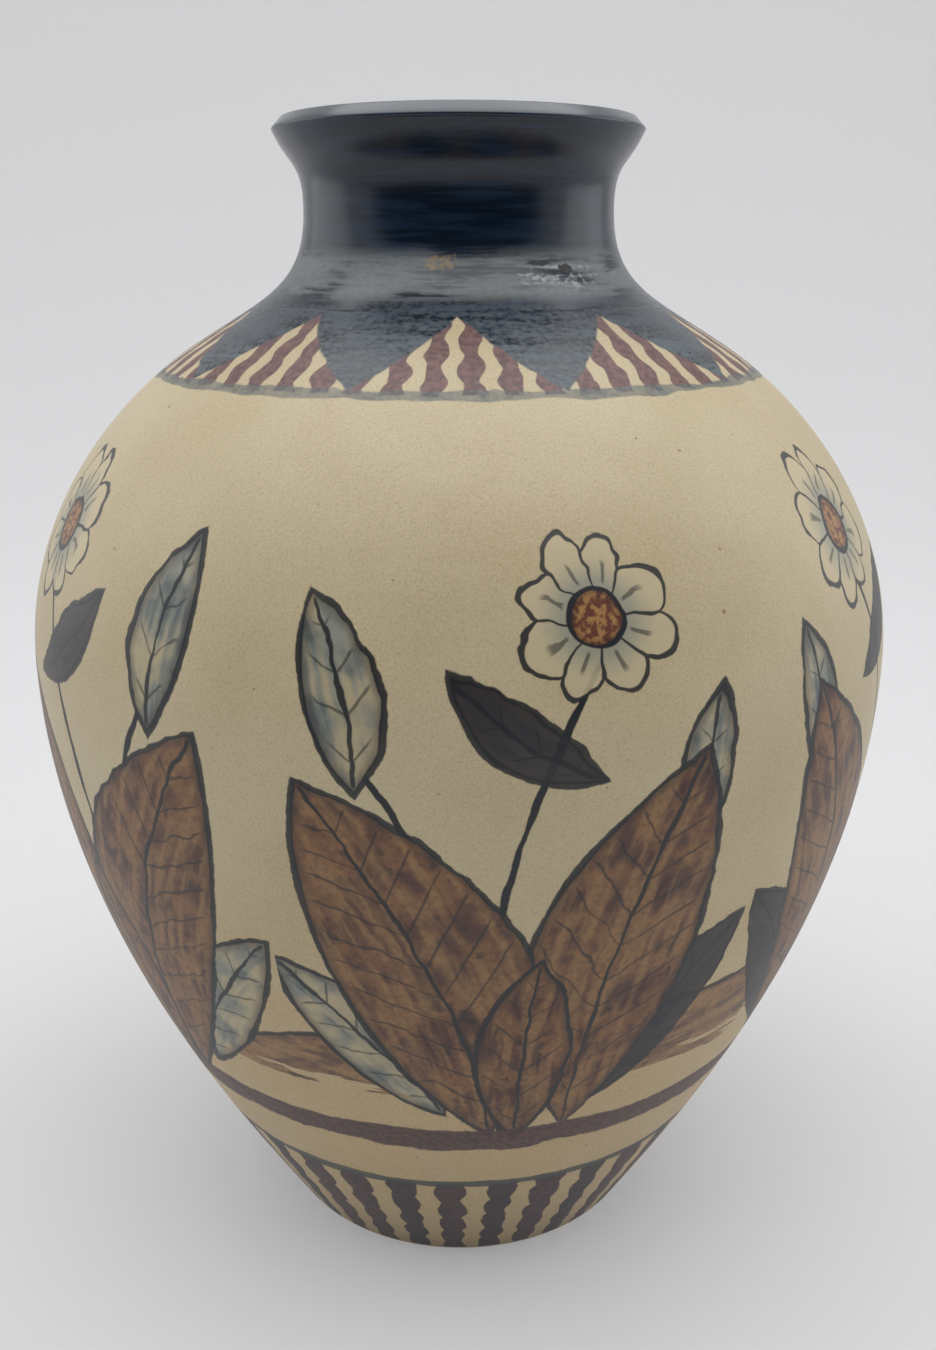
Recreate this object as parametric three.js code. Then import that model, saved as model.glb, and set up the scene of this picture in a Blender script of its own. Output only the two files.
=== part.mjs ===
// Shouldered stoneware vase, thrown in sections that are luted together and fired.
// Millimetres, +Z up. The origin is the centre of the circle on which the foot stands.

import * as THREE from 'three';

// Heights above the table
const totalHeight = 315;
const bellyHeight = 175;
const neckRootHeight = 257;
const waistHeight = 293;

// Outer radii at those heights
const footRadius = 56;
const bellyRadius = 120;
const neckRootRadius = 73;
const waistRadius = 41.7;
const lipRadius = 49;

// Lean of the wall away from upright, outwards when positive
const footLean = THREE.MathUtils.degToRad(30.4);
const neckRootLean = THREE.MathUtils.degToRad(-57.3);
const lipLean = THREE.MathUtils.degToRad(25);

// Length of the handle that shapes each stretch of the wall, as it leaves or reaches a point
const footPull = 42;
const bellyPullDown = 72;
const bellyPullUp = 42;
const neckRootPullDown = 22;
const neckRootPullUp = 24;
const waistPullDown = 20.6;
const waistPullUp = 11;
const lipPull = 9;

// Thickness of the thrown wall, low down where it carries the pot and up at the neck
const wallAtFoot = 8;
const wallAtNeck = 5.4;

// Turned foot and the floor above it
const footRingHeight = 12;
const footRingWidth = 9;
const footRingRounding = 1.5;
const floorThickness = 9;
const floorFillet = 14;

// Where the sections meet, and the gallery that centres each one on the next
const bellySeamHeight = 96;
const shoulderSeamHeight = 205;
const collarSeamHeight = 268;
const gallery = 2;

// Facets round the axis and along each stretch of the wall
const facetsRound = 48;
const stepsFootToBelly = 10;
const stepsBellyToNeck = 9;
const stepsNeckToWaist = 6;
const stepsWaistToLip = 4;
const stepsFillet = 3;
const stepsLipRoll = 7;

// A point or direction in the half plane of the profile, radius across and height up
const at = (radius, height) => new THREE.Vector2(radius, height);
const alongLean = (lean, length) => at(Math.sin(lean) * length, Math.cos(lean) * length);

// The outer line of the wall, from the table to the underside of the lip
function outerWall() {
  const lipRollRadius = wallAtNeck / 2;
  const lipHeight = totalHeight - lipRollRadius * (1 + Math.sin(lipLean));
  const foot = at(footRadius, 0);
  const belly = at(bellyRadius, bellyHeight);
  const neckRoot = at(neckRootRadius, neckRootHeight);
  const waist = at(waistRadius, waistHeight);
  const lip = at(lipRadius, lipHeight);
  const stretches = [
    [foot, foot.clone().add(alongLean(footLean, footPull)),
      at(bellyRadius, bellyHeight - bellyPullDown), belly, stepsFootToBelly],
    [belly, at(bellyRadius, bellyHeight + bellyPullUp),
      neckRoot.clone().sub(alongLean(neckRootLean, neckRootPullDown)), neckRoot, stepsBellyToNeck],
    [neckRoot, neckRoot.clone().add(alongLean(neckRootLean, neckRootPullUp)),
      at(waistRadius, waistHeight - waistPullDown), waist, stepsNeckToWaist],
    [waist, at(waistRadius, waistHeight + waistPullUp),
      lip.clone().sub(alongLean(lipLean, lipPull)), lip, stepsWaistToLip],
  ];
  const points = [foot];
  for (const [from, pullFrom, pullTo, to, steps] of stretches) {
    const curve = new THREE.CubicBezierCurve(from, pullFrom, pullTo, to);
    points.push(...curve.getPoints(steps).slice(1));
  }
  return points;
}

// The inner line, the outer one moved inwards by the thickness of the wall
function innerWall(outer) {
  return outer.map((point, index) => {
    const before = outer[Math.max(index - 1, 0)];
    const after = outer[Math.min(index + 1, outer.length - 1)];
    const along = after.clone().sub(before).normalize();
    const inwards = at(-along.y, along.x);
    const thickness = THREE.MathUtils.lerp(wallAtFoot, wallAtNeck, point.y / totalHeight);
    return point.clone().addScaledVector(inwards, thickness);
  });
}

const outer = outerWall();
const inner = innerWall(outer);

// The point of a line at a given height
function pointAt(line, height) {
  const index = line.findIndex((point) => point.y > height);
  const below = line[index - 1];
  const above = line[index];
  const share = (height - below.y) / (above.y - below.y);
  return at(THREE.MathUtils.lerp(below.x, above.x, share), height);
}

// The stretch of a line between two heights, from the lower to the upper
function stretch(line, low, high) {
  const between = line.filter((point) => point.y > low + 0.5 && point.y < high - 0.5);
  return [pointAt(line, low), ...between, pointAt(line, high)];
}

// A seam runs level from the outside to the middle of the wall, steps up, and runs on to the inside
function seam(height) {
  const outside = pointAt(outer, height);
  const inside = pointAt(inner, height + gallery);
  const middle = (outside.x + pointAt(inner, height).x) / 2;
  return [outside, at(middle, height), at(middle, height + gallery), inside];
}

// Turns a closed profile about the axis into a solid of revolution standing along +Z
function turned(name, profile, material) {
  const geometry = new THREE.LatheGeometry(profile, facetsRound);
  geometry.rotateX(Math.PI / 2);
  const mesh = new THREE.Mesh(geometry, material);
  mesh.name = name;
  return mesh;
}

// Closes a profile that doesn't end on the axis
const closed = (profile) => [...profile, profile[0].clone()];

// A quarter or other part of a circle about a centre, between two angles from the radial direction
function arc(centre, radius, from, to, steps) {
  const points = [];
  for (let step = 0; step <= steps; step += 1) {
    const angle = THREE.MathUtils.lerp(from, to, step / steps);
    points.push(at(centre.x + radius * Math.cos(angle), centre.y + radius * Math.sin(angle)));
  }
  return points;
}

const bareClay = new THREE.MeshStandardMaterial({ color: 0xa88b62, roughness: 0.85, metalness: 0 });
const glazedClay = new THREE.MeshStandardMaterial({ color: 0xbaa477, roughness: 0.4, metalness: 0 });
const darkGlaze = new THREE.MeshStandardMaterial({ color: 0x232c38, roughness: 0.3, metalness: 0 });

// The ring on which the vase stands, turned flat below and rounded at its two edges
function footRing() {
  const insideRadius = footRadius - footRingWidth;
  const top = pointAt(outer, footRingHeight);
  const profile = [
    at(insideRadius + footRingRounding, 0),
    at(footRadius - footRingRounding, 0),
    pointAt(outer, footRingRounding),
    top,
    at(insideRadius, footRingHeight),
    at(insideRadius, footRingRounding),
  ];
  return turned('foot_ring', closed(profile), bareClay);
}

// The lower section, thrown with its floor, which stands on the foot ring
function lowerBody() {
  const floorTop = footRingHeight + floorThickness;
  const wallLow = pointAt(inner, floorTop + floorFillet);
  const filletCentre = at(wallLow.x - floorFillet, floorTop + floorFillet);
  const profile = [
    at(0, footRingHeight),
    ...stretch(outer, footRingHeight, bellySeamHeight),
    ...seam(bellySeamHeight).slice(1, -1),
    ...stretch(inner, floorTop + floorFillet, bellySeamHeight + gallery).reverse(),
    ...arc(filletCentre, floorFillet, 0, -Math.PI / 2, stepsFillet).slice(1),
    at(0, floorTop),
  ];
  return turned('lower_body', profile, glazedClay);
}

// A section of wall between two seams, thrown as an open ring
function wallSection(name, lowSeam, highSeam) {
  const profile = [
    ...stretch(outer, lowSeam, highSeam),
    ...seam(highSeam).slice(1, -1),
    ...stretch(inner, lowSeam + gallery, highSeam + gallery).reverse(),
    ...seam(lowSeam).slice(1, -1).reverse(),
  ];
  return turned(name, closed(profile), glazedClay);
}

// The belly holds the greatest width, and the shoulder closes in over it to the root of the neck
const belly = () => wallSection('belly', bellySeamHeight, shoulderSeamHeight);
const shoulder = () => wallSection('shoulder', shoulderSeamHeight, collarSeamHeight);

// The edge of the flare, on which the lip sits
const collarTop = outer[outer.length - 1];
const collarTopInside = inner[inner.length - 1];

// The collar, from the root of the neck through the waist to the flare under the lip
function neckCollar() {
  const profile = [
    pointAt(outer, collarSeamHeight),
    ...outer.filter((point) => point.y > collarSeamHeight + 0.5),
    ...inner.filter((point) => point.y > collarSeamHeight + gallery + 0.5).reverse(),
    ...seam(collarSeamHeight).slice(1).reverse(),
  ];
  return turned('neck_collar', closed(profile), darkGlaze);
}

// The lip, a coil of clay smoothed down over the top of the collar and rounded
function lipRoll() {
  const middle = collarTop.clone().add(collarTopInside).multiplyScalar(0.5);
  const across = collarTop.clone().sub(collarTopInside);
  const start = Math.atan2(across.y, across.x);
  const profile = arc(middle, across.length() / 2, start, start + Math.PI, stepsLipRoll);
  profile[0].copy(collarTop);
  profile[profile.length - 1].copy(collarTopInside);
  return turned('lip_roll', closed(profile), darkGlaze);
}

const vase = new THREE.Group();
vase.add(footRing(), lowerBody(), belly(), shoulder(), neckCollar(), lipRoll());

export default vase;
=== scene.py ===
# A shouldered stoneware vase, thrown in sections, painted by hand and glazed
from math import atan, cos, pi, radians, sin

import bmesh
import bpy
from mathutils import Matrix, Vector
from mathutils.geometry import interpolate_bezier


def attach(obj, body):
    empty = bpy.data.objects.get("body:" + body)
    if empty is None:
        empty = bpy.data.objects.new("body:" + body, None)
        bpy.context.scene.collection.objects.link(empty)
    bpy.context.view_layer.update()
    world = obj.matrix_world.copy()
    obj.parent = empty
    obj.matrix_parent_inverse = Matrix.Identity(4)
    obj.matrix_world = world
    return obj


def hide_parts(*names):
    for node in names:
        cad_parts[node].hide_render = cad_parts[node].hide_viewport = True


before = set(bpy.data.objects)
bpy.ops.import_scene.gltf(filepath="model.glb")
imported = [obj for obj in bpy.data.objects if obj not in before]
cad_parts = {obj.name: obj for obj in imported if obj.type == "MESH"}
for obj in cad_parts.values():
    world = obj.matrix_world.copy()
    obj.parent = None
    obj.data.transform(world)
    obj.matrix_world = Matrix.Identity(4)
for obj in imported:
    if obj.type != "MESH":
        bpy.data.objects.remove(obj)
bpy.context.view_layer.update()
MM = 0.001

# Camera
# The vase is seen from a little above, from about one and a half of its diameters away.
scene = bpy.context.scene
scene.view_settings.view_transform = "Standard"

EYE_DISTANCE, EYE_HEIGHT, EYE_ACROSS = 380 * MM, 281 * MM, 2.48 * MM
EYE_PITCH, EYE_ROLL = radians(17.6), radians(0.053)
FOCAL_LENGTH_PX, PHOTO_HEIGHT_PX = 1329, 1350

camera_data = bpy.data.cameras.new("camera")
camera_data.sensor_fit = "VERTICAL"
camera_data.angle = 2 * atan(PHOTO_HEIGHT_PX / 2 / FOCAL_LENGTH_PX)
camera_data.clip_start = 0.01
camera = bpy.data.objects.new("camera", camera_data)
camera.location = (EYE_ACROSS, -EYE_DISTANCE, EYE_HEIGHT)
camera.rotation_euler = (pi / 2 - EYE_PITCH, EYE_ROLL, 0)
scene.collection.objects.link(camera)
scene.camera = camera


# Shader maths and finishes
# Each finish is one material, whose patterns are worked out from the place on the object.
class Value:
    """A number that a shader works out. Arithmetic on it adds Math nodes."""

    def __init__(self, nodes, socket):
        self.nodes, self.socket = nodes, socket

    def maths(self, operation, *others):
        return self.nodes.node("Math", {"operation": operation}, dict(enumerate((self, *others))))

    def __add__(self, other):
        return self.maths("ADD", other)

    def __sub__(self, other):
        return self.maths("SUBTRACT", other)

    def __mul__(self, other):
        return self.maths("MULTIPLY", other)

    def __truediv__(self, other):
        return self.maths("DIVIDE", other)

    def __rsub__(self, other):
        return self.nodes.node("Math", {"operation": "SUBTRACT"}, {0: other, 1: self})

    def __abs__(self):
        return self.maths("ABSOLUTE")

    def __neg__(self):
        return self.maths("MULTIPLY", -1)

    __radd__, __rmul__ = __add__, __mul__

    def sine(self):
        return self.maths("SINE")

    def root(self):
        return self.maths("SQRT")

    def fraction(self):
        return self.maths("FRACT")

    def number(self, count):
        """The whole part, which starts again from 0 at a count."""
        return self.maths("FLOOR").maths("FLOORED_MODULO", count)

    def most(self, other):
        return self.maths("MAXIMUM", other)

    def step(self, start, end):
        """0 up to start, 1 from end on, smooth between."""
        settings = {"interpolation_type": "SMOOTHSTEP"}
        return self.nodes.node("MapRange", settings, {"Value": self, "From Min": start, "From Max": end})

    def below(self, edge, softness):
        """1 where the number is less than the edge, 0 where it is more."""
        return 1 - (self - edge).step(-softness, softness)


class Nodes:
    """A node tree, and the one way in which its nodes are made."""

    def __init__(self, tree):
        self.tree = tree

    def node(self, kind, settings, values, out=0):
        made = self.tree.nodes.new("ShaderNode" + kind)
        for key, setting in settings.items():
            setattr(made, key, setting)
        for key, value in values.items():
            if isinstance(value, Value):
                self.tree.links.new(value.socket, made.inputs[key])
            else:
                made.inputs[key].default_value = value
        return Value(self, made.outputs[out])

    def mix(self, amount, under, over):
        """The colour over laid on the colour under, by an amount from 0 to 1."""
        settings = {"data_type": "RGBA", "blend_type": "MIX", "clamp_factor": True}
        return self.node("Mix", settings, {0: amount, 6: under, 7: over}, out=2)


class Finish(Nodes):
    """A material that reads its place on the object in metres."""

    def __init__(self, name):
        self.material = bpy.data.materials.new(name)
        self.material.use_nodes = True
        super().__init__(self.material.node_tree)
        self.shader = self.tree.nodes["Principled BSDF"]
        self.place = self.node("TexCoord", {}, {}, out="Object")

    def noise(self, size, detail=2, shift=0, stretch=(1, 1, 1)):
        """Smooth noise from 0 to 1, in lumps of about the given size in metres."""
        values = {"Vector": self.place, "Location": (shift, shift * 2, shift * 3), "Scale": stretch}
        moved = self.node("Mapping", {}, values)
        return self.node("TexNoise", {}, {"Vector": moved, "Scale": 1 / size, "Detail": detail})

    def relief(self, height, depth):
        """A normal tilted by a height from 0 to 1, which stands for a depth in metres."""
        return self.node("Bump", {}, {"Height": height, "Distance": depth, "Strength": 1}, out="Normal")

    def gives(self, socket, value):
        if isinstance(value, Value):
            self.tree.links.new(value.socket, self.shader.inputs[socket])
        else:
            self.shader.inputs[socket].default_value = value


def rgb(red, green, blue):
    """A colour as it looks, 0 to 255, turned into linear light."""
    parts = [part / 255 for part in (red, green, blue)]
    return (*[p / 12.92 if p < 0.04 else ((p + 0.055) / 1.055) ** 2.4 for p in parts], 1)


# Stage and light
# A sweep of pale paper rises behind the vase, under a broad soft lamp, with a weaker one on each side.
# A haze over the paper, seen by the camera and in reflections alone, keeps its shadows light.
SWEEP_FRONT, SWEEP_BACK, SWEEP_TOP, SWEEP_HALF_WIDTH = -1.6, 1.3, 2.2, 2.6
SWEEP_BEND, BEND_STEPS = 0.6, 24
PAPER_WHITE, HAZE_WHITE, PAPER_HAZE = rgb(230, 230, 230), rgb(205, 205, 207), 0.4

shape = bmesh.new()
line = [Vector((-SWEEP_HALF_WIDTH, SWEEP_FRONT, 0))]
for step in range(BEND_STEPS + 1):
    turn = pi / 2 * step / BEND_STEPS
    back = SWEEP_BACK - SWEEP_BEND + SWEEP_BEND * sin(turn)
    line.append(Vector((-SWEEP_HALF_WIDTH, back, SWEEP_BEND * (1 - cos(turn)))))
line.append(Vector((-SWEEP_HALF_WIDTH, SWEEP_BACK, SWEEP_TOP)))
verts = [shape.verts.new(point) for point in line]
edges = [shape.edges.new(pair) for pair in zip(verts, verts[1:])]
grown = bmesh.ops.extrude_edge_only(shape, edges=edges)["geom"]
far_side = [item for item in grown if isinstance(item, bmesh.types.BMVert)]
bmesh.ops.translate(shape, vec=(2 * SWEEP_HALF_WIDTH, 0, 0), verts=far_side)
bmesh.ops.recalc_face_normals(shape, faces=shape.faces)
mesh = bpy.data.meshes.new("paper_sweep")
shape.to_mesh(mesh)
shape.free()
mesh.shade_smooth()
paper_sweep = bpy.data.objects.new("paper_sweep", mesh)
scene.collection.objects.link(paper_sweep)
paper = Finish("paper")
paper.gives("Base Color", PAPER_WHITE)
paper.gives("Roughness", 0.9)
paper.gives("Specular IOR Level", 0.1)
seen = sum(paper.node("LightPath", {}, {}, out=ray) for ray in ("Is Camera Ray", "Is Glossy Ray"))
haze = paper.node("Emission", {}, {"Color": HAZE_WHITE, "Strength": 1})
plain = Value(paper, paper.shader.outputs[0])
shown = paper.node("MixShader", {}, {0: seen * PAPER_HAZE, 1: plain, 2: haze})
paper.tree.links.new(shown.socket, paper.tree.nodes["Material Output"].inputs["Surface"])
mesh.materials.append(paper.material)

VASE_MIDDLE = Vector((0, 0, 0.16))


def softbox(name, place, size, watts):
    data = bpy.data.lights.new(name, "AREA")
    data.size = size
    data.energy = watts
    lamp = bpy.data.objects.new(name, data)
    lamp.location = place
    lamp.rotation_euler = (VASE_MIDDLE - Vector(place)).to_track_quat("-Z", "Y").to_euler()
    scene.collection.objects.link(lamp)


softbox("overhead_lamp", (0, -0.15, 1.5), 1.9, 21)
softbox("left_lamp", (-1.35, 0.5, 0.6), 1.2, 3.5)
softbox("right_lamp", (1.4, 0.35, 0.7), 1.2, 4)

# The room is dim behind the camera, and the front of the dark glaze mirrors that
ROOM_LEVEL = 0.84
ROOM_PALE, ROOM_DIM, ROOM_SEEN = rgb(232, 233, 237), rgb(34, 38, 46), rgb(255, 255, 255)

room = bpy.data.worlds.new("room")
scene.world = room
room.use_nodes = True
air = Nodes(room.node_tree)
direction = air.node("TexCoord", {}, {}, out="Generated")
ahead = air.node("SeparateXYZ", {}, {0: direction}, out=1)
dim_side = (-ahead).step(0.35, 0.6)
sky = air.mix(dim_side, ROOM_PALE, ROOM_DIM)
sky = air.mix(air.node("LightPath", {}, {}, out="Is Camera Ray"), sky, ROOM_SEEN)
background = room.node_tree.nodes["Background"]
room.node_tree.links.new(sky.socket, background.inputs["Color"])
background.inputs["Strength"].default_value = ROOM_LEVEL


# The line of the wall
# One line runs from the foot over belly and shoulder to the lip, and the potter draws it over every
# section. It is four smooth stretches. The inner line lies a wall's thickness inside it.
TOTAL_HEIGHT = 315 * MM
BELLY_RADIUS, BELLY_HEIGHT = 120 * MM, 175 * MM
ROOT_RADIUS, ROOT_HEIGHT = 73 * MM, 257 * MM
WAIST_RADIUS, WAIST_HEIGHT = 41.7 * MM, 293 * MM
FOOT_RADIUS, LIP_RADIUS = 56 * MM, 49 * MM
FOOT_LEAN, ROOT_LEAN, LIP_LEAN = radians(30.4), radians(-57.3), radians(25)
FOOT_PULL, BELLY_PULL_DOWN, BELLY_PULL_UP = 42 * MM, 72 * MM, 42 * MM
ROOT_PULL_DOWN, ROOT_PULL_UP = 22 * MM, 24 * MM
WAIST_PULL_DOWN, WAIST_PULL_UP, LIP_PULL = 20.6 * MM, 11 * MM, 9 * MM
WALL_AT_FOOT, WALL_AT_NECK = 8 * MM, 5.4 * MM
LIP_HEIGHT = TOTAL_HEIGHT - WALL_AT_NECK / 2 * (1 + sin(LIP_LEAN))
BELLY_SEAM, SHOULDER_SEAM, COLLAR_SEAM = 96 * MM, 205 * MM, 268 * MM
STEPS_LOW, STEPS_SHOULDER, STEPS_NECK, STEPS_FLARE, STEPS_ROUND = 110, 100, 100, 40, 192
MERGE_DISTANCE, SHARP_EDGE = 0.001 * MM, radians(40)


def leaning(angle, length):
    return Vector((sin(angle), cos(angle))) * length


def wall_line():
    up = Vector((0, 1))
    foot = Vector((FOOT_RADIUS, 0))
    belly = Vector((BELLY_RADIUS, BELLY_HEIGHT))
    root = Vector((ROOT_RADIUS, ROOT_HEIGHT))
    waist = Vector((WAIST_RADIUS, WAIST_HEIGHT))
    lip = Vector((LIP_RADIUS, LIP_HEIGHT))
    stretches = [
        (foot, foot + leaning(FOOT_LEAN, FOOT_PULL),
         belly - up * BELLY_PULL_DOWN, belly, STEPS_LOW),
        (belly, belly + up * BELLY_PULL_UP,
         root - leaning(ROOT_LEAN, ROOT_PULL_DOWN), root, STEPS_SHOULDER),
        (root, root + leaning(ROOT_LEAN, ROOT_PULL_UP),
         waist - up * WAIST_PULL_DOWN, waist, STEPS_NECK),
        (waist, waist + up * WAIST_PULL_UP,
         lip - leaning(LIP_LEAN, LIP_PULL), lip, STEPS_FLARE),
    ]
    points = [foot]
    for start, leaving, reaching, end, steps in stretches:
        curve = interpolate_bezier(start, leaving, reaching, end, steps + 1)
        points += [Vector(point[:2]) for point in curve[1:]]
    return points


outer = wall_line()
inner = []
for index, point in enumerate(outer):
    along = (outer[min(index + 1, len(outer) - 1)] - outer[max(index - 1, 0)]).normalized()
    thickness = WALL_AT_FOOT + (WALL_AT_NECK - WALL_AT_FOOT) * point.y / TOTAL_HEIGHT
    inner.append(point + Vector((-along.y, along.x)) * thickness)


def at_height(points, height):
    above = next(index for index, point in enumerate(points) if point.y > height)
    low, high = points[above - 1], points[above]
    return low.lerp(high, (height - low.y) / (high.y - low.y))


def between(points, low, high):
    margin = 0.2 * MM
    middle = [point for point in points if low + margin < point.y < high - margin]
    return [at_height(points, low), *middle, at_height(points, high)]


def arc(centre, radius, start, end, steps=8):
    turns = [start + (end - start) * step / steps for step in range(steps + 1)]
    return [centre + Vector((cos(turn), sin(turn))) * radius for turn in turns]


def turned(node, profile, coat, lining):
    """A section turned about the axis, with one finish outside and one inside."""
    shape = bmesh.new()
    verts = [shape.verts.new((point.x, 0, point.y)) for point in profile]
    edges = [shape.edges.new(pair) for pair in zip(verts, verts[1:])]
    if profile[0].x > 0:
        edges.append(shape.edges.new((verts[-1], verts[0])))
    bmesh.ops.spin(shape, geom=verts + edges, cent=(0, 0, 0), axis=(0, 0, 1), dvec=(0, 0, 0),
                   angle=2 * pi, steps=STEPS_ROUND, use_merge=True, use_duplicate=False)
    bmesh.ops.remove_doubles(shape, verts=shape.verts, dist=MERGE_DISTANCE)
    bmesh.ops.recalc_face_normals(shape, faces=shape.faces)
    for face in shape.faces:
        middle = face.calc_center_median()
        height = min(middle.z, LIP_HEIGHT - 0.1 * MM)
        mid_wall = at_height(outer, height).x - WALL_AT_NECK / 2
        face.material_index = int(middle.xy.length < mid_wall)
    mesh = bpy.data.meshes.new("turned_" + node)
    shape.to_mesh(mesh)
    shape.free()
    mesh.shade_smooth()
    mesh.set_sharp_from_angle(angle=SHARP_EDGE)
    mesh.materials.append(coat.material)
    mesh.materials.append(lining.material)
    piece = bpy.data.objects.new("turned_" + node, mesh)
    scene.collection.objects.link(piece)
    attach(piece, "root")
    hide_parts(node)


# The painting
# The potter brushes oxides on the raw buff clay: stripes, thin lines, and a frieze of leaves and flowers
# outlined in ink. Satin glaze covers it, and blue-black glaze hangs from the neck in ten points.
BUFF, BUFF_PALE, BUFF_WARM = rgb(183, 166, 129), rgb(192, 177, 143), rgb(180, 154, 110)
GRIT_DARK, GRIT_PALE = rgb(128, 106, 74), rgb(214, 202, 170)
PURPLE_BROWN, PURPLE_DARK = rgb(76, 48, 46), rgb(46, 32, 38)
SHOULDER_BROWN, SHOULDER_DARK = rgb(118, 84, 78), rgb(88, 62, 62)
IRON_RED, IRON_DARK, OCHRE = rgb(98, 52, 38), rgb(42, 24, 22), rgb(160, 118, 70)
INK, SLATE, SLATE_PALE, NAVY = rgb(24, 29, 34), rgb(78, 90, 92), rgb(136, 140, 128), rgb(9, 22, 37)

# Heights in millimetres above the table, angles in degrees from the front
RUBBED_EDGE, FOOT_LINE, FOOT_LINE_WIDTH = 1, 41.8, 3
GROUND_LOW, GROUND_HIGH = 60, 68.6
SHOULDER_LINE, SHOULDER_LINE_WIDTH = 250.9, 1.9
TOOTH_TIP, TOOTH_ROOT, TEETH = 251.5, 266.8, 10
SHOULDER_STRIPES, FOOT_STRIPES, PLANTS = 56, 36, 6
SHOULDER_TURN, FOOT_TURN, TOOTH_TURN, PLANT_TURN = 0.6, 6.8, 18, 22
SHOULDER_WAVE, SHOULDER_BEAD, FOOT_BEAD = 6.2, 5.4, 12
RISE_FOOT, RISE_TOP, PLANT_FOOT, PLANT_WIDTH = 86, 106, 68, 126
WORN_SHEEN_LOW, WORN_SHEEN_HIGH, LIP_THIN_AND_SHEEN = 269, 281, 311.6


class Painting(Finish):
    """A finish that reads height, angle and the painter's unsteady hand."""

    def __init__(self, name):
        super().__init__(name)
        x, y, z = (self.node("SeparateXYZ", {}, {0: self.place}, out=axis) / MM for axis in range(3))
        self.height, self.degrees = z, x.maths("ARCTAN2", -y) * (180 / pi)
        self.shake = self.noise(9 * MM) - 0.5
        self.shiver = self.noise(2 * MM, shift=3) - 0.5
        self.pressure = self.noise(14 * MM, 1, shift=6)
        self.hand = z + self.shake * 1.2 + self.shiver * 0.3
        self.mottle = self.noise(1.5 * MM, 3, shift=5)
        self.grain = self.noise(0.5 * MM, 3, shift=7)

    def clay(self):
        """Buff, paler up the vase and warmer low down, with fine grit and a few freckles."""
        colour = self.mix(self.noise(45 * MM, 3).step(0.3, 0.7), BUFF, BUFF_PALE)
        warmth = self.height.below(120, 70) + self.noise(22 * MM, 3, shift=2) - 0.5
        colour = self.mix(warmth.step(0.1, 1.1) * 0.8, colour, BUFF_WARM)
        colour = self.mix(self.grain.step(0.5, 0.75) * 0.28, colour, GRIT_DARK)
        colour = self.mix(self.grain.below(0.42, 0.1) * 0.22, colour, GRIT_PALE)
        freckle = self.noise(3 * MM, 1, shift=9).step(0.78, 0.81)
        return self.mix(freckle * 0.8, colour, GRIT_DARK)

    def stroke(self, distance, width):
        """A brush line, a little uneven, at a distance of 0."""
        pressed = (self.pressure - 0.5) * (width * 0.9)
        return (abs(distance) + pressed + self.shiver * 0.4).below(width / 2, 0.2)

    def foot_band(self, under):
        """Stripes like strings of beads, from the thin dark line down to the foot."""
        turn = (self.degrees + self.shake * 2.5 + FOOT_TURN) * (FOOT_STRIPES / 360)
        seed = (turn.number(FOOT_STRIPES) * 2.4).sine()
        across = abs(turn.fraction() - 0.5) * 2
        drop = FOOT_LINE - self.height
        bead = drop / FOOT_BEAD + drop * drop / 1500 + seed * 0.4 + self.shake * 0.8
        beads = abs((bead * pi).sine())
        stripe = (across - beads * 0.2 + seed * 0.04).below(0.45, 0.035)
        stripe = stripe * self.hand.below(FOOT_LINE, 0.3)
        wash = self.mix(self.mottle.step(0.35, 0.65), PURPLE_BROWN, PURPLE_DARK)
        colour = self.mix(stripe, under, self.mix(seed.step(0.2, 0.9) * 0.6, wash, INK))
        line = self.stroke(self.hand - FOOT_LINE, FOOT_LINE_WIDTH)
        return self.mix(line * 0.92, colour, rgb(50, 58, 56))

    def ground_line(self, under):
        """A broad brown line that the frieze stands on."""
        drift = (self.noise(24 * MM, 3, shift=4) - 0.5) * 9
        edge = self.height + drift + self.shiver * 1.2
        ground = edge.step(GROUND_LOW - 0.4, GROUND_LOW + 0.4)
        ground = ground * (edge - drift * 0.5).below(GROUND_HIGH, 0.4)
        wash = self.mix(self.mottle.step(0.35, 0.7), rgb(84, 54, 50), PURPLE_DARK)
        return self.mix(ground * 0.96, under, wash)

    def shoulder_band(self, under):
        """Wavy stripes from the shoulder line up to the teeth."""
        wave = (self.height * (2 * pi / SHOULDER_WAVE) + (self.degrees * (pi / 22.5)).sine() * 3).sine()
        turn = self.degrees + wave * 0.36 + self.shake * 1.8 + SHOULDER_TURN
        turn = turn * (SHOULDER_STRIPES / 360)
        across = abs(turn.fraction() - 0.5) * 2
        start = (turn.number(SHOULDER_STRIPES) * 2.1).sine() * 2
        beads = abs((self.height * (pi / SHOULDER_BEAD) + start + self.shake * 2).sine())
        stripe = (across - beads * 0.22).below(0.44, 0.05)
        stripe = stripe * self.hand.step(SHOULDER_LINE - 0.3, SHOULDER_LINE + 0.3)
        wash = self.mix(self.mottle.step(0.35, 0.65), SHOULDER_BROWN, SHOULDER_DARK)
        colour = self.mix(stripe, under, wash)
        slate = self.mix(self.mottle.step(0.4, 0.7), rgb(92, 101, 99), rgb(58, 68, 70))
        line = self.stroke(self.hand - SHOULDER_LINE, SHOULDER_LINE_WIDTH)
        return self.mix(line * (0.75 + self.shake * 0.6), colour, slate)

    def teeth(self):
        """How fully the dark glaze covers: all above the teeth, with ten points hanging down."""
        turn = (self.degrees + self.shake * 3 + TOOTH_TURN) * (TEETH / 360)
        across = abs(turn.fraction() - 0.5) * 2
        edge = TOOTH_TIP + (TOOTH_ROOT - TOOTH_TIP) * (1 - across)
        return (self.hand - edge).step(-0.35, 0.35)

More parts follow.
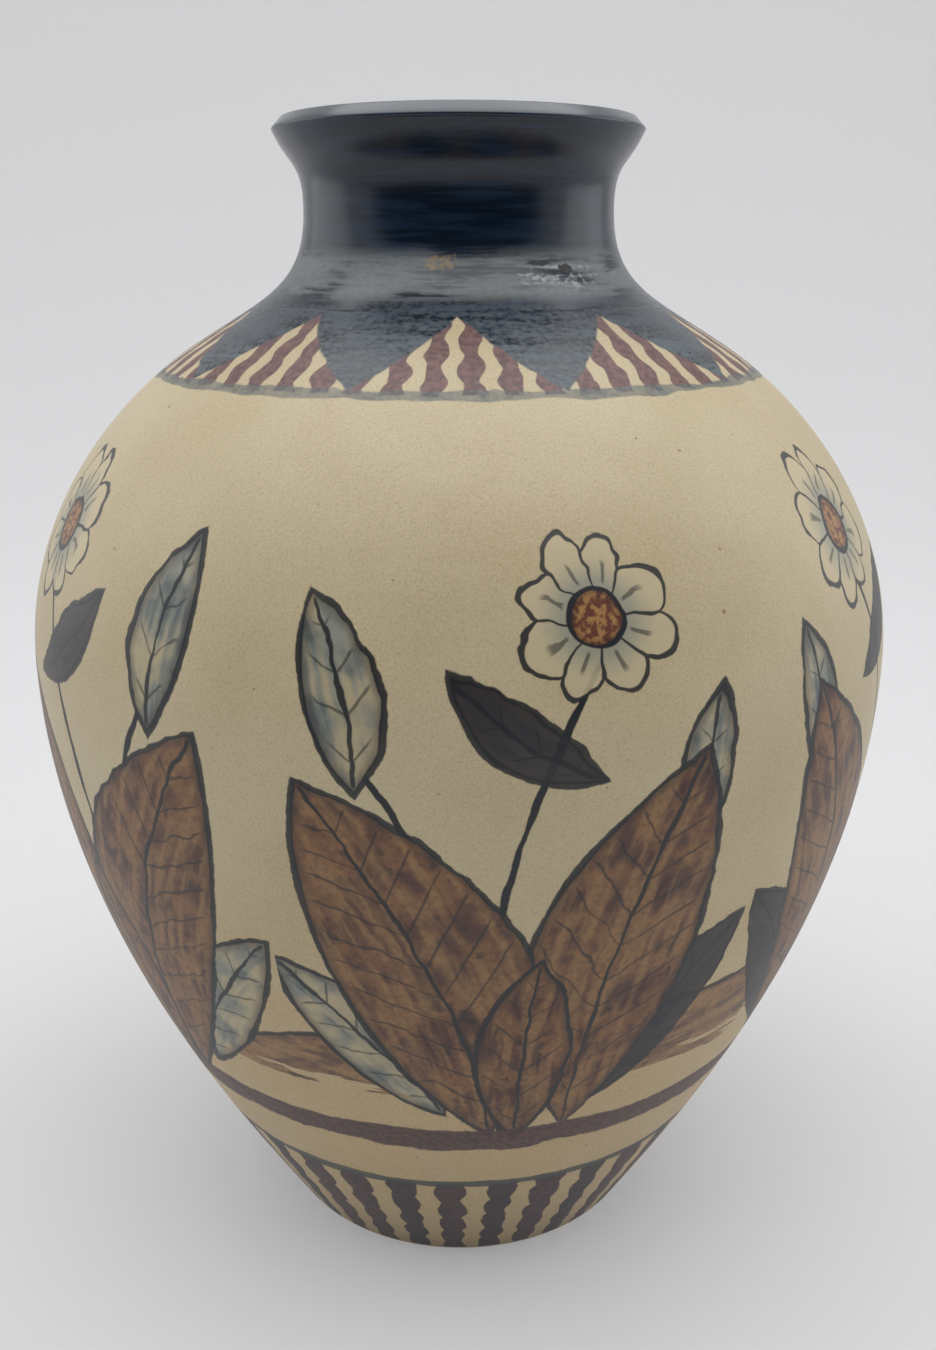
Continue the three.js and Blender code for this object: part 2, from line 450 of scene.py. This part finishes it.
    def leaf(self, under, spot, centre, length, width, tilt, bow, wash):
        """A pointed leaf brushed from base to tip, with an ink outline, a midrib and slanting veins."""
        aside, above = spot[0] - centre[0], spot[1] - centre[1]
        along = aside * sin(tilt) + above * cos(tilt)
        across = aside * cos(tilt) - above * sin(tilt) - along * along * (bow / length ** 2)
        reach = (length ** 2 + width ** 2) / (2 * width)
        bulge = abs(across) + (reach - width)
        edge = (bulge * bulge + along * along).root() - reach + self.shiver * 0.35 + self.shake * 1.4
        drawn = {0: across * 0.9, 1: along * 0.12, 2: centre[0] + centre[1]}
        brushed = self.node("CombineXYZ", {}, drawn)
        streak = self.node("TexNoise", {}, {"Vector": brushed, "Scale": 0.33, "Detail": 3})
        fill = self.mix(streak.step(0.4, 0.62) * 0.8, *wash)
        fill = self.mix(edge.step(-3.5, -0.4) * 0.55, fill, IRON_DARK)
        colour = self.mix((edge + self.slip).below(0, 0.25) * 0.96, under, fill)
        rib = abs(across + self.shake * 0.8)
        vein = abs(((along - rib * 0.9) / 10 + self.shake * 0.3).fraction() - 0.5) * 10
        ink = self.stroke(vein, 0.8) * (edge.below(-2.5, 1) * 0.7)
        ink = ink.most(self.stroke(rib, 1.1) * edge.below(-1, 0.6))
        return self.mix(ink.most(self.stroke(edge, 1.5)) * 0.95, colour, INK)

    def flower(self, under, spot, centre, radius, turned_by):
        """An open flower of eight petals, left nearly bare, with a brown eye."""
        aside, above = spot[0] - centre[0], spot[1] - centre[1]
        out = (aside * aside + above * above * 1.15).root() + self.shake * 1.6
        round_it = aside.maths("ARCTAN2", above) + turned_by + self.shake * 0.5
        petal = abs((round_it * 4).sine())
        longer = (round_it * 3).sine() * (radius * 0.05)
        edge = out - petal * (radius * 0.26) - longer - radius * 0.76 + self.shiver * 0.4
        shade = self.mix(out.step(radius * 0.34, radius * 0.8), SLATE_PALE, BUFF_PALE)
        colour = self.mix(edge.below(0, 0.3) * 0.8, under, shade)
        crease = petal.below(0.14, 0.05) * edge.below(0, 0.3) * out.step(radius * 0.3, radius * 0.36)
        fold = out.step(radius * 0.4, radius * 0.46) * out.below(radius * 0.7, 1)
        fold = (petal - 0.97).step(0, 0.02) * fold
        ink = crease.most(fold * 0.7).most(self.stroke(edge, 1.4))
        colour = self.mix(ink * 0.95, colour, INK)
        eye = self.mix(self.mottle.step(0.42, 0.58), IRON_RED, OCHRE)
        eye = self.mix(out.step(radius * 0.2, radius * 0.34) * 0.6, eye, IRON_DARK)
        colour = self.mix(out.below(radius * 0.34, 0.4), colour, eye)
        return self.mix(self.stroke(out - radius * 0.34, 1.2), colour, INK)

    def stem(self, under, spot, foot, top, bow):
        """A bowed ink line from a foot to a top."""
        rise = top[1] - foot[1]
        part = (spot[1] - foot[1]) / rise
        line = part * (top[0] - foot[0]) + part * (1 - part) * (4 * bow) + foot[0]
        within = part.step(-0.01, 0) * part.below(1, 0.01)
        return self.mix(self.stroke(spot[0] - line, 1.7) * within, under, INK)

    def rise(self, under, washes):
        """A low rise of ground in streaky brown, ragged below, with an ink line along its top."""
        swell = (self.degrees * (pi / 60)).sine() * 7 + (self.degrees * (pi / 36) + 2).sine() * 5
        top = self.height - swell - RISE_TOP + self.shake * 3
        ragged = (self.noise(3 * MM, 3, shift=15, stretch=(0.12, 0.12, 1)) - 0.5) * 34
        foot = (self.height + ragged).step(RISE_FOOT, RISE_FOOT + 1)
        streak = self.noise(3.5 * MM, 4, shift=16, stretch=(0.25, 0.25, 1))
        wash = self.mix(streak.step(0.4, 0.6), *washes)
        wash = self.mix(top.step(-3, 0) * 0.5, wash, IRON_DARK)
        colour = self.mix(top.below(0, 0.3) * foot * 0.9, under, wash)
        return self.mix(self.stroke(top, 1.4) * 0.9, colour, INK)

    def frieze(self, under):
        """Six plants round the belly, each a mirror of the next, growing from a low rise of ground."""
        turn = (self.degrees + PLANT_TURN) / (360 / PLANTS)
        plant = turn.number(PLANTS)
        flip = 1 - plant.maths("FLOORED_MODULO", 2) * 2
        sway = (plant * 2.3 + 1).sine()
        growth = 1 + sway * 0.07
        upward = (self.height + self.shake * 2 - PLANT_FOOT) * growth
        sideways = (turn.fraction() - 0.5) * flip * PLANT_WIDTH
        sideways = sideways + self.shake * 2 + upward * sway * 0.05
        spot = (sideways, upward + PLANT_FOOT)

        cloudy = self.noise(9 * MM, 4, shift=11)
        spots = self.noise(6 * MM, 2, shift=14).step(0.58, 0.66) * 0.8
        # How far a wash slips past its outline or stays short of it
        self.slip = (cloudy - 0.45) * 2.4
        brown = self.mix(cloudy.step(0.4, 0.58), rgb(74, 38, 32), rgb(122, 82, 50))
        brown = self.mix(spots, brown, IRON_DARK)
        brown = self.mix(self.mottle.step(0.42, 0.62) * 0.35, brown, rgb(56, 32, 28))
        ochre = self.mix(self.mottle.step(0.4, 0.65) * 0.45, rgb(144, 108, 66), rgb(100, 66, 44))
        dark = self.mix(cloudy.step(0.35, 0.6), NAVY, rgb(24, 28, 36))
        slate = self.mix(cloudy.step(0.35, 0.65), SLATE, SLATE_PALE)
        pale = self.mix(cloudy.step(0.35, 0.6), SLATE_PALE, BUFF)
        brown_wash, dark_wash, slate_wash = (brown, ochre), (dark, rgb(44, 44, 48)), (slate, pale)

        colour = self.rise(under, brown_wash)
        colour = self.stem(colour, spot, (2, PLANT_FOOT), (20, 206), -16)
        colour = self.stem(colour, spot, (-4, PLANT_FOOT), (-34, 186), 10)
        colour = self.stem(colour, spot, (4, PLANT_FOOT), (50, 168), -10)
        colour = self.leaf(colour, spot, (46, 180), 19, 7, radians(8), 2, slate_wash)
        colour = self.leaf(colour, spot, (-36, 200), 23, 9, radians(-12), -3, slate_wash)
        colour = self.leaf(colour, spot, (40, 108), 34, 12, radians(34), 4, dark_wash)
        colour = self.leaf(colour, spot, (-39, 104), 33, 12, radians(-38), -3, slate_wash)
        colour = self.leaf(colour, spot, (24, 128), 60, 22, radians(14), 8, brown_wash)
        colour = self.leaf(colour, spot, (-20, 126), 60, 24, radians(-20), -8, brown_wash)
        colour = self.leaf(colour, spot, (2, 98), 34, 13, radians(4), 2, brown_wash)
        colour = self.leaf(colour, spot, (2, 190), 21, 7, radians(-52), 3, dark_wash)
        return self.flower(colour, spot, (21, 216), 19, sway)


# Blots on the glaze, and the patch of painted glints by the chips, each with its angle, height, half
# width and half height
TAN_SPOT, LONG_CHIP, SHORT_CHIP = (-5.4, 279, 5, 1.8), (26, 278.6, 4, 0.7), (36, 277.6, 3, 0.9)
GLINTS = (32, 276.5, 11, 3.6)


class DarkGlaze:
    """The blue-black glaze, brushed on as the vase turned, so that it is streaked round the neck."""

    def __init__(self, finish):
        streak = finish.noise(1.3 * MM, 5, shift=21, stretch=(0.07, 0.07, 1))
        smear = finish.noise(9 * MM, 4, shift=22, stretch=(0.4, 0.4, 1.4))
        scratch = finish.noise(0.9 * MM, 4, shift=23, stretch=(0.6, 0.6, 1))
        height = finish.height
        # A paler grey band round the foot of the neck: partly worn glaze, partly a painted reflection of
        # the overhead lamp
        root_band = height.step(WORN_SHEEN_LOW, WORN_SHEEN_LOW + 3.5) * height.below(WORN_SHEEN_HIGH, 2.5)
        self.worn_and_sheen = root_band * (smear + streak * 0.6).step(0.66, 0.86)
        tips = height.below(262, 7)
        flecks = (scratch * 0.6 + streak * 0.4).step(0.36, 0.64)
        self.scratched = height.below(270, 2) * flecks * (0.35 + tips * 0.6)
        colour = finish.mix(streak.step(0.4, 0.65), NAVY, rgb(22, 40, 60))
        colour = finish.mix(self.scratched, colour, rgb(98, 107, 109))
        # The top of the lip is paler grey: partly thin glaze on the edge, partly a painted highlight
        # where the rim catches the overhead lamp
        colour = finish.mix(height.step(LIP_THIN_AND_SHEEN, LIP_THIN_AND_SHEEN + 1.8) * 0.5, colour, rgb(124, 130, 132))
        colour = finish.mix(self.worn_and_sheen * (0.45 + scratch * 0.6), colour, rgb(122, 128, 126))
        tan_spot = self.blot(finish, *TAN_SPOT) * scratch.step(0.35, 0.55)
        colour = finish.mix(tan_spot * 0.75, colour, rgb(150, 126, 88))
        chips = self.blot(finish, *LONG_CHIP).most(self.blot(finish, *SHORT_CHIP))
        # Light grey flecks round the chips are painted glints, a highlight painted into the colour
        glints = self.blot(finish, *GLINTS) * (scratch + streak).step(0.92, 1.2)
        colour = finish.mix(glints * 0.7, colour, rgb(176, 180, 178))
        self.colour = finish.mix(chips, colour, rgb(14, 16, 18))
        self.roughness = 0.17 + streak * 0.12 + self.worn_and_sheen * 0.2 + self.scratched * 0.35
        self.relief = streak * 0.5 + smear * 0.5 - chips

    def blot(self, finish, angle, level, half_width, half_height):
        """A blot, ragged at its edge. The neck is about 0.85 mm round for each degree."""
        aside = (finish.degrees - angle) * 0.85 / half_width
        above = finish.height - level
        away = (aside * aside + above * above / half_height ** 2).root()
        away = away + finish.shiver * 1.8 + finish.shake
        return away.below(0.85, 0.25)


def wheel_marks(finish):
    """Fine rings left by the potter's fingers, and the slight swell of a thrown wall."""
    rings = finish.noise(4 * MM, 2, shift=31, stretch=(0.03, 0.03, 1))
    swell = finish.noise(30 * MM, 2, shift=32)
    return rings * 0.12 + swell * 0.88


painted = Painting("painted_stoneware")
glaze = DarkGlaze(painted)
colour = painted.frieze(painted.clay())
colour = painted.ground_line(colour)
colour = painted.foot_band(colour)
colour = painted.shoulder_band(colour)
covered = painted.teeth()
colour = painted.mix(covered, colour, glaze.colour)
painted.gives("Base Color", painted.mix(painted.hand.below(RUBBED_EDGE, 0.5) * 0.8, colour, BUFF_WARM))
painted.gives("Roughness", (0.36 + painted.grain * 0.16) * (1 - covered) + glaze.roughness * covered)
skin = wheel_marks(painted) + painted.grain * 0.05 + glaze.relief * covered * 0.06
painted.gives("Normal", painted.relief(skin, 0.6 * MM))

dark = Painting("dark_glaze")
neck_glaze = DarkGlaze(dark)
dark.gives("Base Color", neck_glaze.colour)
dark.gives("Roughness", neck_glaze.roughness)
dark.gives("Normal", dark.relief(wheel_marks(dark) + neck_glaze.relief * 0.06, 0.6 * MM))

lining = Painting("plain_lining")
lining.gives("Base Color", lining.clay())
lining.gives("Roughness", 0.45)
lining.gives("Normal", lining.relief(wheel_marks(lining), 0.8 * MM))

# The foot ring
# A ring of the same clay, luted under the floor and turned on the wheel until it stands flat.
# Its outside is painted with the rest. Below and inside it is left bare, with its edges sponged round.
FOOT_RING_HEIGHT, FOOT_RING_WIDTH, FOOT_EDGE = 12 * MM, 9 * MM, 1.4 * MM
BARE_CLAY, BARE_SHADE, BARE_GRAIN = rgb(176, 152, 112), rgb(154, 128, 92), rgb(98, 76, 56)

bare = Finish("bare_clay")
clay_grain = bare.noise(0.6 * MM, 3)
sand = bare.mix(bare.noise(14 * MM, 3).step(0.35, 0.65), BARE_CLAY, BARE_SHADE)
bare.gives("Base Color", bare.mix(clay_grain.step(0.6, 0.75) * 0.5, sand, BARE_GRAIN))
bare.gives("Roughness", 0.85)
bare.gives("Normal", bare.relief(clay_grain, 0.15 * MM))

foot_inside = FOOT_RADIUS - FOOT_RING_WIDTH
rest_edge = at_height(outer, FOOT_EDGE).x - FOOT_EDGE * 1.2
foot_profile = [
    *arc(Vector((foot_inside + FOOT_EDGE, FOOT_EDGE)), FOOT_EDGE, pi, 1.5 * pi),
    *arc(Vector((rest_edge, FOOT_EDGE)), FOOT_EDGE, 1.5 * pi, 1.85 * pi),
    *between(outer, FOOT_EDGE, FOOT_RING_HEIGHT),
    Vector((foot_inside, FOOT_RING_HEIGHT)),
]
turned("foot_ring", foot_profile, painted, bare)

# The lower section
# It is thrown with its floor, which is filleted into the wall inside. It is painted outside, and plain
# inside and below.
FLOOR_THICKNESS, FLOOR_FILLET = 9 * MM, 14 * MM

floor_top = FOOT_RING_HEIGHT + FLOOR_THICKNESS
wall_low = at_height(inner, floor_top + FLOOR_FILLET)
fillet_centre = Vector((wall_low.x - FLOOR_FILLET, floor_top + FLOOR_FILLET))
lower_profile = [
    Vector((0, FOOT_RING_HEIGHT)),
    *between(outer, FOOT_RING_HEIGHT, BELLY_SEAM),
    *reversed(between(inner, floor_top + FLOOR_FILLET, BELLY_SEAM)),
    *arc(fillet_centre, FLOOR_FILLET, 0, -pi / 2)[1:],
    Vector((0, floor_top)),
]
turned("lower_body", lower_profile, painted, lining)


# The belly and the shoulder
# Two open rings of wall, each luted on the one below. The painting runs on over their seams.
def wall_between(low, high):
    return [*between(outer, low, high), *reversed(between(inner, low, high))]


turned("belly", wall_between(BELLY_SEAM, SHOULDER_SEAM), painted, lining)
turned("shoulder", wall_between(SHOULDER_SEAM, COLLAR_SEAM), painted, lining)

# The neck collar
# A short collar thrown apart and luted to the shoulder. It is waisted and flared, with dark glaze inside
# and out.
above_seam = COLLAR_SEAM + 0.2 * MM
collar_profile = [
    at_height(outer, COLLAR_SEAM),
    *[point for point in outer if point.y > above_seam],
    *reversed([point for point in inner if point.y > above_seam]),
    at_height(inner, COLLAR_SEAM),
]
turned("neck_collar", collar_profile, dark, dark)

# The lip
# A coil smoothed over the edge of the flare. Its outer edge is wiped to a slope, and its top is rounded
# with wet leather.
LIP_CORNER, SLOPE_ACROSS, SLOPE_DOWN, CROWN_STEPS = 0.7 * MM, 2 * MM, 0.35 * MM, 24

corner = Vector((outer[-1].x - LIP_CORNER / 2, outer[-1].y + LIP_CORNER))
slope_high = Vector((LIP_RADIUS - SLOPE_ACROSS, TOTAL_HEIGHT - SLOPE_DOWN))
crown = interpolate_bezier(slope_high, slope_high + Vector((-0.7, 0.6)) * MM,
                           inner[-1] + Vector((0.5, 1.7)) * MM, inner[-1], CROWN_STEPS)
lip_profile = [
    outer[-1],
    *arc(corner, LIP_CORNER, -pi / 6, pi / 4),
    *[Vector(point[:2]) for point in crown],
]
turned("lip_roll", lip_profile, dark, dark)
